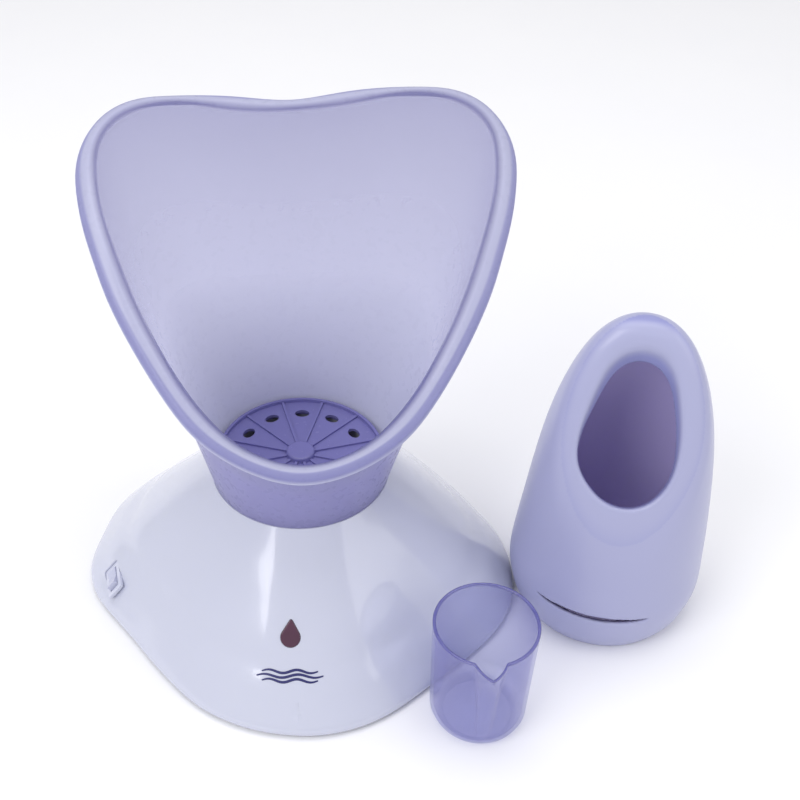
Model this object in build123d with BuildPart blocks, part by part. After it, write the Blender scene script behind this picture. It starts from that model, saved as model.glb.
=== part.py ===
from build123d import *
import math
import os

os.makedirs("parts", exist_ok=True)

# Facial steamer with its lift-off face mask, its nose mask and its measuring cup.
# Frame: origin on the table under the neck axis, +Z up, -Y towards the user,
# +X to the user's right. Millimetres.

# ---------------------------------------------------------------- driving dimensions
# base shell
neck_z = 75.0            # seat of the face mask on the base
neck_r = 43.4            # outside radius of the shell at that seat
shell_bottom = 1.5
wall = 2.6               # shell wall, measured square to its surface
wall_h = 3.4             # the same wall measured level on the sloping side
# plan radius of the brim, every 10 degrees from the front (-Y) towards +X
brim = [
    105.4, 105.4, 103.8, 101.0, 99.3, 100.5, 104.2, 108.2, 109.8, 109.0,
    106.4, 102.6, 100.4, 100.0, 101.8, 104.6, 106.4, 107.2, 107.4, 106.8,
    105.4, 104.6, 104.2, 105.6, 109.6, 111.3, 111.0, 111.9, 108.8, 102.0,
    97.3, 96.4, 97.7, 100.6, 102.9, 104.5,
]
# share of the way out from neck to brim, by height
flare = [
    (1.5, 0.985), (4.0, 1.0), (8.0, 0.965), (14.0, 0.885), (22.0, 0.775),
    (32.0, 0.630), (44.0, 0.455), (56.0, 0.275), (66.0, 0.125), (72.0, 0.040),
    (75.0, 0.0),
]

# neck spigot, tank and heater
spigot_r, spigot_in_r, spigot_top = 37.9, 36.8, 79.0
gasket_t = 0.8
tank_flange_t = 1.2
tank_top_r, tank_low_r, tank_t = 36.4, 34.2, 1.4
tank_floor = 34.6        # underside of the tank floor
tank_hole_r = 27.0
seal_t = 0.5
plate_t, plate_r = 1.5, 31.0
clamp_t = 1.2
element_ring_r, element_r = 20.0, 3.2
base_plate_z, base_plate_t = 3.0, 2.2
boss_at = [(58.0, 50.0), (-58.0, 50.0), (58.0, -50.0), (-56.0, -48.0)]
boss_r, screw_r, screw_hole_r = 4.0, 1.4, 1.45

# drop-shaped indicator on the front slope
drop_x, drop_z = -3.7, 39.6
drop_w, drop_h = 9.2, 12.4
# rocker switch on the left slope: direction from -Y towards +X
switch_deg, switch_z = -77.0, 16.0
rocker_tilt = 8.0
# rear cord outlet
gland_z, gland_bore_r, gland_r, gland_flange_r = 12.5, 3.2, 4.2, 6.2
pad_y = 107.0

# face mask: azimuth from the front, inner lip radius, outer rim radius
mask_rows = [
    (0, 53.6, 62.7), (15, 53.8, 62.8), (30, 54.8, 64.0), (45, 56.4, 66.4),
    (60, 59.3, 69.2), (72, 63.2, 73.4), (82, 68.1, 79.0), (90, 73.2, 84.8),
    (97, 78.8, 90.5), (103, 84.8, 96.5), (108, 89.8, 101.4), (112, 92.9, 104.7),
    (116, 94.8, 106.1), (120, 94.0, 105.6), (125, 89.9, 102.5), (131, 82.6, 95.9),
    (138, 73.9, 86.4), (147, 64.0, 76.7), (157, 56.8, 69.2), (168, 52.8, 63.8),
    (180, 51.5, 61.6),
]
lip_front, lip_slope = (53.5, 126.5), 1.066
rim_front, rim_slope = (62.5, 126.5), 0.911
mask_wall = 2.0
collar_in_r = 41.0
mask_turn = 2.0          # the mask is set a little anticlockwise on the neck
mask_lean = 1.8          # and its rim lies this far to the right of the neck
skirt = 5.0

# nose mask: centre, turn about its own axis, and its sections
nose_x, nose_y, nose_turn = 153.3, -11.6, -12.0
# height, side half-width, depth to the front, depth to the back, front squareness, shift aside
nose_rows = [
    (0.0, 39.9, 39.9, 39.9, 2.0, 0.0), (4.0, 42.2, 42.1, 42.2, 2.0, 0.0),
    (10.0, 44.9, 44.5, 44.9, 2.0, 0.0), (24.0, 47.3, 45.9, 47.3, 2.0, 0.1),
    (42.0, 46.1, 43.5, 46.1, 2.0, 0.3), (60.0, 44.4, 40.8, 44.4, 2.1, 0.5),
    (80.0, 42.3, 38.0, 42.3, 2.2, 0.5), (100.0, 39.7, 34.9, 39.7, 2.3, 0.4),
    (118.0, 36.4, 31.8, 36.4, 2.4, 0.3), (135.0, 31.8, 27.6, 31.8, 2.4, 0.1),
    (147.0, 27.2, 23.4, 27.2, 2.3, -0.1), (156.0, 22.4, 19.4, 22.4, 2.2, -0.2),
    (163.0, 16.8, 14.6, 16.8, 2.1, -0.2), (167.0, 11.4, 10.0, 11.4, 2.0, -0.2),
    (169.0, 5.4, 4.8, 5.4, 2.0, -0.2),
]
mouth_f, mouth_z, mouth_deg = 36.6, 80.0, 67.0
nose_split = 22.6
nose_wall = 2.4
socket_r, socket_h = 38.2, 7.0

# measuring cup
cup_x, cup_y = 83.8, -88.4
cup_h, cup_rim_r, cup_foot_r, cup_t = 62.5, 23.9, 22.4, 1.5
spout_out, spout_w = 8.3, 7.6


# ---------------------------------------------------------------- helpers
def pick(table, z):
    """Straight-line value in a (height, value) table."""
    if z <= table[0][0]:
        return table[0][1]
    for (z0, v0), (z1, v1) in zip(table, table[1:]):
        if z <= z1:
            return v0 + (v1 - v0) * (z - z0) / (z1 - z0)
    return table[-1][1]


def brim_at(deg):
    a = (deg % 360.0) / 10.0
    i = int(a) % 36
    return brim[i] + (brim[(i + 1) % 36] - brim[i]) * (a - int(a))


def outer_r(deg, z):
    return neck_r + (brim_at(deg) - neck_r) * pick(flare, z)


def ring_points(z, inset=0.0):
    """Closed outline of the shell at height z, drawn in by inset."""
    share = pick(flare, z)
    pts = []
    for i, big in enumerate(brim):
        a = math.radians(10.0 * i)
        r = neck_r + (big - neck_r) * share - inset
        pts.append((r * math.sin(a), -r * math.cos(a)))
    return pts


even = [i / 36.0 for i in range(37)]


def smooth(points, marks):
    """Closed spline through the points at evenly marked parameters."""
    return Edge.make_spline([Vector(x, y, 0) for x, y in points], periodic=True, parameters=marks)


def slope_plane(deg, z, r=None, lift=0.0):
    """Plane lying on the shell's side: local x level, local y up the slope."""
    a = math.radians(deg)
    e = Vector(math.sin(a), -math.cos(a), 0)
    t = Vector(math.cos(a), math.sin(a), 0)
    dr = outer_r(deg, z + 3) - outer_r(deg, z - 3)
    n = Vector(e.X * 6.0, e.Y * 6.0, -dr).normalized()
    rr = outer_r(deg, z) if r is None else r
    p = Vector(e.X * rr, e.Y * rr, z) + n * lift
    return Plane(origin=p, x_dir=t, z_dir=n)


def azimuth_plane(deg):
    """Upright plane through the neck axis: local x out, local y up."""
    a = math.radians(deg)
    return Plane(
        origin=(0, 0, 0),
        x_dir=(math.sin(a), -math.cos(a), 0),
        z_dir=(-math.cos(a), -math.sin(a), 0),
    )


def finish(builder, name):
    builder.part.label = name
    export_step(builder.part, f"parts/{name}.step")


# ---------------------------------------------------------------- base shell
drop_deg = math.degrees(math.atan2(drop_x, 76.3))
drop_plane = slope_plane(drop_deg, drop_z)
switch_plane = slope_plane(switch_deg, switch_z)

with BuildPart() as cavity:
    for z, inset in (
        (1.0, 4.6), (4.0, wall_h), (8.0, wall_h), (14.0, wall_h), (22.0, wall_h),
        (32.0, wall_h), (44.0, wall_h), (56.0, wall_h), (66.0, wall_h),
        (neck_z - wall, wall_h),
    ):
        with BuildSketch(Plane.XY.offset(z)):
            with BuildLine():
                add(smooth(ring_points(max(z, 1.5), inset), even))
            make_face()
    loft()
    # pocket behind the rear cord outlet
    with BuildSketch(Plane.XY.offset(1.0)):
        with Locations((0, 92.0)):
            Rectangle(17.6, 24.8)
    extrude(amount=18.0)
    # screw pillars left standing in the cavity
    with BuildSketch(Plane.XY.offset(base_plate_z + base_plate_t)):
        with Locations(*boss_at):
            Circle(boss_r)
    extrude(amount=40.0, mode=Mode.SUBTRACT)

with BuildPart() as base_shell:
    for z, share in flare:
        with BuildSketch(Plane.XY.offset(z)):
            with BuildLine():
                add(smooth(ring_points(z), even))
            make_face()
    loft()
    # upright pad for the cord outlet
    with BuildSketch(Plane.XY.offset(shell_bottom)):
        with Locations((0, pad_y - 12.0)):
            RectangleRounded(23.0, 24.0, 3.0)
    extrude(amount=20.1)
    add(cavity.part, mode=Mode.SUBTRACT)
    # spigot that the masks stand on, open for the tank
    with BuildSketch(Plane.XY.offset(neck_z - wall)):
        Circle(spigot_r)
    extrude(amount=spigot_top - neck_z + wall)
    with BuildSketch(Plane.XY.offset(neck_z - wall - 2.0)):
        Circle(spigot_in_r)
    extrude(amount=20.0, mode=Mode.SUBTRACT)
    # pilot holes of the pillars
    with BuildSketch(Plane.XY.offset(base_plate_z + base_plate_t)):
        with Locations(*boss_at):
            Circle(screw_hole_r)
    extrude(amount=11.0, mode=Mode.SUBTRACT)
    # window of the indicator
    with BuildSketch(drop_plane.offset(3.0)):
        with Locations((0, -2.0)):
            Circle(drop_w / 2 + 0.15)
        with Locations((0, drop_h / 2 - 0.8)):
            Circle(0.95)
        make_hull()
    extrude(amount=-9.0, mode=Mode.SUBTRACT)
    # seat and cut-out of the switch
    with BuildSketch(switch_plane.offset(4.0)):
        RectangleRounded(17.8, 11.2, 1.4)
    extrude(amount=-4.5, mode=Mode.SUBTRACT)
    with BuildSketch(switch_plane.offset(4.0)):
        Rectangle(14.6, 8.6)
    extrude(amount=-12.0, mode=Mode.SUBTRACT)
    # hole of the cord outlet
    with BuildSketch(Plane(origin=(0, pad_y + 2.0, gland_z), x_dir=(1, 0, 0), z_dir=(0, 1, 0))):
        Circle(gland_r + 0.1)
    extrude(amount=-10.0, mode=Mode.SUBTRACT)
finish(base_shell, "base_shell")

# ---------------------------------------------------------------- base plate and foot ring
with BuildPart() as base_plate:
    with BuildSketch(Plane.XY.offset(base_plate_z)):
        with BuildLine():
            add(smooth(ring_points(4.0, 4.6), even))
        make_face()
    extrude(amount=base_plate_t)
    # three pillars carry the heat shield
    with BuildSketch(Plane.XY.offset(base_plate_z + base_plate_t)):
        with PolarLocations(33.0, 3, start_angle=90):
            Circle(2.6)
    extrude(amount=12.0 - base_plate_z - base_plate_t)
    # groove of the foot ring
    with BuildSketch(Plane.XY.offset(base_plate_z)):
        Circle(64.2)
        Circle(55.8, mode=Mode.SUBTRACT)
    extrude(amount=0.8, mode=Mode.SUBTRACT)
    # screw holes
    with BuildSketch(Plane.XY.offset(base_plate_z - 1)):
        with Locations(*boss_at):
            Circle(1.7)
    extrude(amount=6.0, mode=Mode.SUBTRACT)
    # air slots under the heater
    with BuildSketch(Plane.XY.offset(base_plate_z - 1)):
        with PolarLocations(20.0, 8):
            SlotOverall(16.0, 3.0)
    extrude(amount=4.0, mode=Mode.SUBTRACT)
finish(base_plate, "base_plate")

with BuildPart() as foot_ring:
    with BuildSketch(Plane.XZ):
        with BuildLine():
            Polyline(
                (56.0, 3.8), (56.0, 1.2), (57.6, 0.0), (62.4, 0.0), (64.0, 1.2),
                (64.0, 3.8), close=True,
            )
        make_face()
    revolve(axis=Axis.Z)
finish(foot_ring, "foot_ring")

with BuildPart() as base_screws:
    with BuildSketch(Plane.XY.offset(base_plate_z - 1.8)):
        with Locations(*boss_at):
            Circle(2.9)
    extrude(amount=1.8)
    with BuildSketch(Plane.XY.offset(base_plate_z - 1.8)):
        with Locations(*boss_at):
            RegularPolygon(1.0, 6)
    extrude(amount=1.0, mode=Mode.SUBTRACT)
    with BuildSketch(Plane.XY.offset(base_plate_z)):
        with Locations(*boss_at):
            Circle(screw_r)
    extrude(amount=11.0)
finish(base_screws, "base_screws")

# ---------------------------------------------------------------- water tank and its gasket
with BuildPart() as neck_gasket:
    with BuildSketch(Plane.XY.offset(spigot_top)):
        Circle(37.8)
        Circle(36.9, mode=Mode.SUBTRACT)
    extrude(amount=gasket_t)
finish(neck_gasket, "neck_gasket")

flange_z = spigot_top + gasket_t
with BuildPart() as water_tank:
    with BuildSketch(Plane.XZ):
        with BuildLine():
            Polyline(
                (tank_hole_r, tank_floor), (tank_low_r - 2.0, tank_floor),
                (tank_low_r, tank_floor + 2.0), (tank_top_r, flange_z),
                (37.9, flange_z), (37.9, flange_z + tank_flange_t),
                (tank_top_r - tank_t, flange_z + tank_flange_t),
                (tank_low_r - tank_t, tank_floor + tank_t + 1.2),
                (tank_low_r - tank_t - 1.2, tank_floor + tank_t),
                (tank_hole_r, tank_floor + tank_t), close=True,
            )
        make_face()
    revolve(axis=Axis.Z)
    # bosses for the heater clamp, outside the wall
    with BuildSketch(Plane.XY.offset(tank_floor - seal_t - plate_t)):
        with PolarLocations(37.4, 3, start_angle=30):
            Circle(3.4)
    extrude(amount=15.0)
    with BuildSketch(Plane.XY.offset(tank_floor - seal_t - plate_t)):
        with PolarLocations(37.4, 3, start_angle=30):
            Circle(1.5)
    extrude(amount=12.0, mode=Mode.SUBTRACT)
finish(water_tank, "water_tank")

# ---------------------------------------------------------------- heater
plate_z = tank_floor - seal_t - plate_t
with BuildPart() as plate_seal:
    with BuildSketch(Plane.XY.offset(tank_floor - seal_t)):
        Circle(30.8)
        Circle(27.4, mode=Mode.SUBTRACT)
    extrude(amount=seal_t)
finish(plate_seal, "plate_seal")

with BuildPart() as heating_plate:
    with BuildSketch(Plane.XY.offset(plate_z)):
        Circle(plate_r)
    extrude(amount=plate_t)
    with BuildSketch(Plane.XY.offset(plate_z + plate_t)):
        Circle(25.5)
    extrude(amount=1.4, taper=25)
finish(heating_plate, "heating_plate")

with BuildPart() as heating_element:
    with BuildSketch(azimuth_plane(120.0)):
        with Locations((element_ring_r, plate_z - element_r - 0.05)):
            Circle(element_r)
    revolve(axis=Axis.Z, revolution_arc=300)
    # terminal pins at the two ends of the open ring
    for deg in (34.0, 326.0):
        a = math.radians(deg)
        with BuildSketch(Plane.XY.offset(plate_z - 2 * element_r - 8.0)):
            with Locations((element_ring_r * math.cos(a), element_ring_r * math.sin(a))):
                Circle(1.6)
        extrude(amount=9.0)
finish(heating_element, "heating_element")

with BuildPart() as heater_clamp:
    with BuildSketch(Plane.XY.offset(plate_z - clamp_t)):
        Circle(33.6)
        with PolarLocations(37.4, 3, start_angle=30):
            Circle(4.4)
        Circle(25.4, mode=Mode.SUBTRACT)
        with PolarLocations(37.4, 3, start_angle=30):
            Circle(1.7, mode=Mode.SUBTRACT)
    extrude(amount=clamp_t)
finish(heater_clamp, "heater_clamp")

with BuildPart() as clamp_screws:
    with BuildSketch(Plane.XY.offset(plate_z - clamp_t - 2.0)):
        with PolarLocations(37.4, 3, start_angle=30):
            Circle(2.9)
    extrude(amount=2.0)
    with BuildSketch(Plane.XY.offset(plate_z - clamp_t)):
        with PolarLocations(37.4, 3, start_angle=30):
            Circle(1.45)
    extrude(amount=10.0)
finish(clamp_screws, "clamp_screws")

with BuildPart() as thermostat:
    with BuildSketch(Plane.XY.offset(plate_z - 0.05)):
        Circle(7.4)
    extrude(amount=-4.0)
    with BuildSketch(Plane.XY.offset(plate_z - 4.05)):
        Circle(8.2)
    extrude(amount=-8.0)
    with BuildSketch(Plane.XY.offset(plate_z - 8.0)):
        with Locations((0, 9.5), (0, -9.5)):
            Rectangle(4.8, 5.0)
    extrude(amount=-0.9)
finish(thermostat, "thermostat")

strap_z = plate_z - 12.05
with BuildPart() as thermostat_strap:
    with BuildSketch(Plane.XZ.offset(-3.5)):
        with BuildLine():
            Polyline(
                (-28.6, plate_z - clamp_t), (-28.6, strap_z - 0.9), (28.6, strap_z - 0.9),
                (28.6, plate_z - clamp_t), (27.7, plate_z - clamp_t), (27.7, strap_z),
                (-27.7, strap_z), (-27.7, plate_z - clamp_t), close=True,
            )
        make_face()
    extrude(amount=7.0)
finish(thermostat_strap, "thermostat_strap")

with BuildPart() as thermal_fuse:
    with BuildSketch(Plane(origin=(-7.0, 29.0, plate_z - clamp_t - 2.2), x_dir=(0, 1, 0), z_dir=(1, 0, 0))):
        Circle(2.15)
    extrude(amount=14.0)
    with BuildSketch(Plane(origin=(-11.0, 29.0, plate_z - clamp_t - 2.2), x_dir=(0, 1, 0), z_dir=(1, 0, 0))):
        Circle(0.6)
    extrude(amount=22.0)
finish(thermal_fuse, "thermal_fuse")

with BuildPart() as heat_shield:
    with BuildSketch(Plane.XZ):
        with BuildLine():
            Polyline(
                (0, 12.0), (40.6, 12.0), (41.6, 13.0), (41.6, 18.0), (40.8, 18.0),
                (40.8, 13.4), (40.2, 12.8), (0, 12.8), close=True,
            )
        make_face()
    revolve(axis=Axis.Z)
finish(heat_shield, "heat_shield")

# ---------------------------------------------------------------- indicator
with BuildPart() as indicator_lens:
    with BuildSketch(drop_plane.offset(0.55)):
        with Locations((0, -2.0)):
            Circle(drop_w / 2)
        with Locations((0, drop_h / 2 - 0.8)):
            Circle(0.8)
        make_hull()
    extrude(amount=-4.8)
    # inner lip that stops it falling out
    with BuildSketch(drop_plane.offset(-3.15)):
        with Locations((0, -2.0)):
            Circle(drop_w / 2 + 1.3)
        with Locations((0, drop_h / 2 - 0.8)):
            Circle(2.1)
        make_hull()
    extrude(amount=-1.1)
    fillet(indicator_lens.faces().sort_by(Axis((0, 0, 0), drop_plane.z_dir))[-1].edges(), 0.4)
finish(indicator_lens, "indicator_lens")

with BuildPart() as indicator_lamp:
    with BuildSketch(drop_plane.offset(-5.2)):
        with Locations((0, -1.5)):
            Circle(2.5)
    extrude(amount=-9.0)
    fillet(indicator_lamp.faces().sort_by(Axis((0, 0, 0), drop_plane.z_dir))[-1].edges(), 1.6)
finish(indicator_lamp, "indicator_lamp")

with BuildPart() as lamp_holder:
    with BuildSketch(Plane.XY.offset(base_plate_z + base_plate_t)):
        with Locations((drop_x, -63.0)):
            Rectangle(9.0, 5.0)
    extrude(amount=26.0)
    with BuildSketch(Plane.XY.offset(base_plate_z + base_plate_t)):
        with Locations((drop_x, -63.0)):
            Rectangle(16.0, 9.0)
    extrude(amount=2.0)
    with BuildSketch(drop_plane.offset(-8.0)):
        with Locations((0, -1.5)):
            Circle(4.4)
    extrude(amount=-7.5)
    with BuildSketch(drop_plane.offset(-5.0)):
        with Locations((0, -1.5)):
            Circle(2.6)
    extrude(amount=-9.3, mode=Mode.SUBTRACT)
finish(lamp_holder, "lamp_holder")

# ---------------------------------------------------------------- switch
with BuildPart() as switch_body:
    with BuildSketch(switch_plane.offset(0.9)):
        RectangleRounded(17.4, 10.8, 1.2)
    extrude(amount=-1.4)
    with BuildSketch(switch_plane.offset(0.3)):
        Rectangle(14.2, 8.2)
    extrude(amount=-8.6)
    with BuildSketch(switch_plane.offset(2.0)):
        Rectangle(12.6, 6.4)
    extrude(amount=-9.4, mode=Mode.SUBTRACT)
    with BuildSketch(Plane(origin=switch_plane.origin - switch_plane.z_dir * 1.2, x_dir=switch_plane.x_dir, z_dir=switch_plane.y_dir)):
        Circle(1.0)
    extrude(amount=4.0, both=True, mode=Mode.SUBTRACT)
finish(switch_body, "switch_body")

rocker_axis_at = switch_plane.origin - switch_plane.z_dir * 1.2
rocker_plane = Plane(
    origin=rocker_axis_at - switch_plane.y_dir * 2.95,
    x_dir=switch_plane.x_dir,
    z_dir=switch_plane.y_dir,
)
side_sign = 1.0 if rocker_plane.y_dir.dot(switch_plane.z_dir) > 0 else -1.0


def tilted(x, y):
    a = math.radians(rocker_tilt)
    return (x * math.cos(a) - y * math.sin(a), (x * math.sin(a) + y * math.cos(a)) * side_sign)


with BuildPart() as switch_rocker:
    with BuildSketch(rocker_plane):
        with BuildLine():
            Polyline(
                tilted(-5.7, -1.0), tilted(-5.3, 3.6), tilted(0, 2.5), tilted(5.3, 3.6),
                tilted(5.7, -1.0), tilted(2.6, -3.6), tilted(-2.6, -3.6), close=True,
            )
        make_face()
    extrude(amount=5.9)
    with BuildSketch(Plane(origin=rocker_axis_at, x_dir=switch_plane.x_dir, z_dir=switch_plane.y_dir)):
        Circle(0.92)
    extrude(amount=3.9, both=True)
finish(switch_rocker, "switch_rocker")

with BuildPart() as switch_terminals:
    with BuildSketch(switch_plane.offset(-8.3)):
        with Locations((-4.0, 0), (4.0, 0)):
            Rectangle(0.8, 4.8)
    extrude(amount=-4.0)
finish(switch_terminals, "switch_terminals")

# ---------------------------------------------------------------- cord outlet
gland_face = Plane(origin=(0, pad_y, gland_z), x_dir=(-1, 0, 0), z_dir=(0, 1, 0))
with BuildPart() as cord_gland:
    with BuildSketch(gland_face):
        Circle(gland_flange_r)
    extrude(amount=2.0)
    fillet(cord_gland.faces().sort_by(Axis.Y)[-1].edges(), 0.8)
    with BuildSketch(gland_face):
        Circle(gland_r)
    extrude(amount=-8.0)
    with BuildSketch(gland_face.offset(4.0)):
        Circle(gland_bore_r)
    extrude(amount=-14.0, mode=Mode.SUBTRACT)
finish(cord_gland, "cord_gland")

with BuildPart() as gland_nut:
    with BuildSketch(gland_face.offset(-wall)):
        RegularPolygon(6.1, 6)
        Circle(gland_r + 0.1, mode=Mode.SUBTRACT)
    extrude(amount=-3.2)
finish(gland_nut, "gland_nut")

plate_top = base_plate_z + base_plate_t
with BuildPart() as cord_clamp:
    with BuildSketch(Plane.XZ.offset(-84.0)):
        with BuildLine():
            Polyline(
                (-11.5, plate_top), (-4.9, plate_top), (-4.9, plate_top + 1.8),
                (-3.4, 12.5), (-1.6, 15.3), (1.6, 15.3), (3.4, 12.5),
                (4.9, plate_top + 1.8), (4.9, plate_top), (11.5, plate_top),
                (11.5, plate_top + 2.0), (6.4, plate_top + 2.0), (5.0, 13.2),
                (2.6, 17.0), (-2.6, 17.0), (-5.0, 13.2), (-6.4, plate_top + 2.0),
                (-11.5, plate_top + 2.0), close=True,
            )
        make_face()
    extrude(amount=8.0)
    with BuildSketch(Plane.XY.offset(plate_top - 1)):
        with Locations((-9.0, 80.0), (9.0, 80.0)):
            Circle(1.5)
    extrude(amount=6.0, mode=Mode.SUBTRACT)
finish(cord_clamp, "cord_clamp")

with BuildPart() as cord_clamp_screws:
    with BuildSketch(Plane.XY.offset(plate_top + 2.0)):
        with Locations((-9.0, 80.0), (9.0, 80.0)):
            Circle(2.4)
    extrude(amount=1.7)
    with BuildSketch(Plane.XY.offset(plate_top)):
        with Locations((-9.0, 80.0), (9.0, 80.0)):
            Circle(1.3)
    extrude(amount=2.2)
finish(cord_clamp_screws, "cord_clamp_screws")

with BuildPart() as terminal_block:
    with BuildSketch(Plane.XY.offset(plate_top)):
        with Locations((40.0, 56.0)):
            RectangleRounded(26.0, 14.0, 1.0)
    extrude(amount=11.0)
    with BuildSketch(Plane.XY.offset(plate_top + 4.0)):
        with Locations((31.8, 56.0), (40.0, 56.0), (48.2, 56.0)):
            Circle(2.4)
    extrude(amount=8.0, mode=Mode.SUBTRACT)
finish(terminal_block, "terminal_block")

with BuildPart() as terminal_screws:
    with BuildSketch(Plane.XY.offset(plate_top + 4.0)):
        with Locations((31.8, 56.0), (40.0, 56.0), (48.2, 56.0)):
            Circle(2.2)
    extrude(amount=4.0)
    with BuildSketch(Plane.XY.offset(plate_top + 7.2)):
        with Locations((31.8, 56.0), (40.0, 56.0), (48.2, 56.0)):
            Rectangle(3.6, 0.6)
    extrude(amount=1.0, mode=Mode.SUBTRACT)
finish(terminal_screws, "terminal_screws")

# ---------------------------------------------------------------- lead wires
lead_r = 1.1


def tab(side, depth, rise):
    """Point beside a switch blade: side along it, depth below it, rise up the slope."""
    p = (switch_plane.origin + switch_plane.x_dir * side
         - switch_plane.z_dir * depth + switch_plane.y_dir * rise)
    return (p.X, p.Y, p.Z)


leads = [
    # terminal block to the switch, along the front of the plate
    ([(53.8, 58.0, 9.0), (65.0, 59.0, 8.0), (73.0, 40.0, 7.5), (74.0, 0.0, 7.5), (70.0, -44.0, 7.5),
      (50.0, -70.0, 7.5), (10.0, -80.0, 7.5), (-40.0, -74.0, 7.5), (-68.0, -54.0, 7.8),
      (-77.0, -36.0, 9.0), tab(4.0, 12.0, 8.5), tab(4.0, 10.6, 2.7)], 3.0),
    # switch to the thermostat, under the heat shield
    ([tab(-4.0, 10.6, 2.7), tab(-4.0, 12.0, 8.5), (-66.0, 2.0, 8.4), (-52.0, 8.0, 8.0),
      (-46.5, 8.8, 14.0), (-45.5, 9.0, 20.0), (-36.0, 9.5, 23.6), (-2.8, 9.6, 24.1)], 3.0),
    # terminal block to the thermal fuse
    ([(31.8, 48.0, 9.5), (32.0, 45.2, 12.0), (30.0, 44.0, 22.0), (24.0, 37.0, 28.0),
      (11.8, 29.0, 28.9)], 2.0),
    # terminal block to the indicator
    ([(48.2, 48.2, 8.0), (50.0, 36.0, 7.6), (52.0, 0.0, 7.4), (44.0, -36.0, 7.4),
      (18.0, -60.0, 7.6), (3.4, -61.0, 9.6), (2.6, -62.0, 27.0)], 3.0),
]
with BuildPart() as lead_wires:
    for pts, rad in leads:
        with BuildLine() as path:
            FilletPolyline(*pts, radius=rad)
        with BuildSketch(Plane(origin=path.line @ 0, z_dir=path.line % 0)):
            Circle(lead_r)
        sweep(path=path.line)
finish(lead_wires, "lead_wires")

# ---------------------------------------------------------------- steam diffuser
grille_z = flange_z + tank_flange_t
with BuildPart() as steam_diffuser:
    with BuildSketch(Plane.XY.offset(grille_z)):
        Circle(40.2)
    extrude(amount=1.6)
    with BuildSketch(Plane.XY.offset(grille_z + 1.6)):
        Circle(40.2)
        Circle(38.8, mode=Mode.SUBTRACT)
    extrude(amount=1.8)
    # radial ribs run from the centre boss to the rim, between the holes
    with BuildSketch(Plane.XY.offset(grille_z + 1.6)):
        with PolarLocations(22.5, 12, start_angle=15):
            Rectangle(34.0, 1.3)
    extrude(amount=1.0)
    # centre boss
    with BuildSketch(Plane.XY.offset(grille_z + 1.6)):
        Circle(7.2)
    extrude(amount=2.6, taper=12)
    fillet(steam_diffuser.faces().sort_by(Axis.Z)[-1].edges(), 1.2)
    # steam holes
    with BuildSketch(Plane.XY.offset(grille_z - 1)):
        with PolarLocations(30.0, 12):
            Ellipse(2.6, 3.6)
    extrude(amount=6.0, mode=Mode.SUBTRACT)
    # skirt that locates it in the tank
    with BuildSketch(Plane.XY.offset(grille_z)):
        Circle(34.6)
        Circle(33.4, mode=Mode.SUBTRACT)
    extrude(amount=-1.8)
finish(steam_diffuser, "steam_diffuser")

# ---------------------------------------------------------------- face mask
def mask_profile(deg, rin, rout):
    a = math.radians(deg)
    y_in, y_out = -rin * math.cos(a), -rout * math.cos(a)
    zi = lip_front[1] + lip_slope * (y_in + lip_front[0])
    zo = rim_front[1] + rim_slope * (y_out + rim_front[0])
    mid_r = (rin + rout) / 2
    mid_z = (zi + zo) / 2
    half_in = collar_in_r + (rin - collar_in_r) * 0.5
    half_z = neck_z + (zi - neck_z) * 0.5
    return [
        (collar_in_r, neck_z), (collar_in_r + mask_wall, neck_z),
        (half_in + mask_wall, half_z),
        (rin + mask_wall, zi - 2.6), (rin + 3.4, zi - 2.0),
        (mid_r, mid_z - 1.5), (rout - 3.6, zo - 2.4),
        (rout - 1.9, zo - skirt), (rout, zo - skirt),
        (rout - 0.3, zo - 2.2), (rout - 1.7, zo - 0.3),
        (mid_r + 0.5, mid_z + 0.7), (rin + 1.2, zi),
        (rin, zi - 1.3), (half_in, half_z),
    ]


first, last = mask_rows[1], mask_rows[-2]
all_rows = [(-first[0], first[1], first[2])] + mask_rows + [(360 - last[0], last[1], last[2])]


def mask_section(side, deg, rin, rout):
    lean = side * mask_lean * math.sin(math.radians(deg))
    return azimuth_plane(side * deg), mask_profile(deg, rin + lean, rout + lean)


with BuildPart() as mask_right:
    for deg, rin, rout in all_rows:
        plane, outline = mask_section(1, deg, rin, rout)
        with BuildSketch(plane):
            with BuildLine():
                Polyline(*outline, close=True)
            make_face()
    loft()
    split(bisect_by=Plane.YZ, keep=Keep.TOP)

with BuildPart() as mask_left:
    for deg, rin, rout in all_rows:
        plane, outline = mask_section(-1, deg, rin, rout)
        with BuildSketch(plane):
            with BuildLine():
                Polyline(*outline, close=True)
            make_face()
    loft()
    split(bisect_by=Plane.YZ, keep=Keep.BOTTOM)

with BuildPart() as face_mask:
    add(mask_right.part, rotation=(0, 0, mask_turn))
    add(mask_left.part, rotation=(0, 0, mask_turn))
finish(face_mask, "face_mask")

# ---------------------------------------------------------------- nose mask
turn = math.radians(nose_turn)
nose_front = Vector(math.sin(turn), -math.cos(turn), 0)
nose_side = Vector(math.cos(turn), math.sin(turn), 0)
n_pts = 32
nose_even = [i / n_pts for i in range(n_pts + 1)]


def nose_points(row, inset=0.0):
    z, side, front, back, square, aside = row
    side, front, back = side - inset, front - inset, back - inset
    pts = []
    for i in range(n_pts):
        a = 2 * math.pi * i / n_pts
        s, c = math.sin(a), math.cos(a)
        p = square if c > 0 else 2.0
        deep = front if c > 0 else back
        r = (abs(s) ** p + abs(c) ** p) ** (-1.0 / p)
        w, f = aside + side * s * r, deep * c * r
        pts.append((
            nose_x + nose_side.X * w + nose_front.X * f,
            nose_y + nose_side.Y * w + nose_front.Y * f,
        ))
    return pts


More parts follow.
